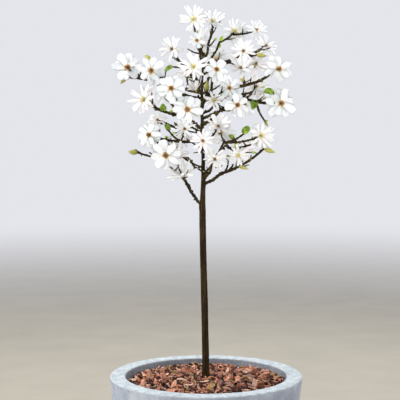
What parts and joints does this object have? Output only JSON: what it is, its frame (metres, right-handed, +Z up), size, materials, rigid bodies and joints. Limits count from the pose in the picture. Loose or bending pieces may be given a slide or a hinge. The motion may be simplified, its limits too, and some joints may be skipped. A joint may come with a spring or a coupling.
{
  "type": "potted star magnolia",
  "caption": "Small star magnolia trained as a standard, in white blossom on bare twigs, with bark mulch in a round grey clay pot.",
  "frame": {"origin": "middle of the pot's flat underside, on the pot's axis", "axes": "+Z up along the trunk; -Y towards the side the picture shows; +X to the right there"},
  "size_m": [0.58, 0.58, 1.5589],
  "materials": {
    "fired_clay": "matt mottled grey fibre clay, paler on the worn rim, with small pits",
    "soil": "dark moist potting soil",
    "bark_chips": "dry red-brown bark chips",
    "trunk_bark": "matt olive-brown bark with darker spur scars",
    "blossom": "white petals on dark twigs, with furry olive buds and a few bright green leaves"
  },
  "bodies": {
    "root": {"pot": "fired_clay", "potting_soil": "soil", "bark_mulch": "bark_chips", "trunk": "trunk_bark", "low_left_bough": "trunk_bark", "low_right_bough": "trunk_bark", "inner_right_bough": "trunk_bark", "mid_left_bough": "trunk_bark", "front_left_bough": "trunk_bark", "high_left_bough": "trunk_bark", "far_left_bough": "trunk_bark", "mid_right_bough": "trunk_bark", "far_right_bough": "trunk_bark", "upper_right_bough": "trunk_bark", "top_left_bough": "trunk_bark", "top_right_bough": "trunk_bark", "crest_right_bough": "trunk_bark", "back_low_left_bough": "trunk_bark", "back_low_right_bough": "trunk_bark", "back_mid_left_bough": "trunk_bark", "back_mid_right_bough": "trunk_bark", "back_high_right_bough": "trunk_bark", "low_left_spray": "blossom", "low_right_spray": "blossom", "low_front_spray": "blossom", "inner_right_spray": "blossom", "mid_left_spray": "blossom", "front_low_spray": "blossom", "left_spray": "blossom", "left_upper_spray": "blossom", "front_left_spray": "blossom", "high_left_spray": "blossom", "far_left_spray": "blossom", "front_high_spray": "blossom", "front_right_spray": "blossom", "mid_right_spray": "blossom", "right_spray": "blossom", "upper_right_spray": "blossom", "top_left_spray": "blossom", "top_right_spray": "blossom", "crest_right_spray": "blossom", "leader_left_spray": "blossom", "leader_front_spray": "blossom", "leader_right_spray": "blossom", "back_low_left_spray": "blossom", "back_low_right_spray": "blossom", "back_mid_left_spray": "blossom", "back_mid_right_spray": "blossom", "back_high_left_spray": "blossom", "back_high_right_spray": "blossom"}
  },
  "joints": []
}
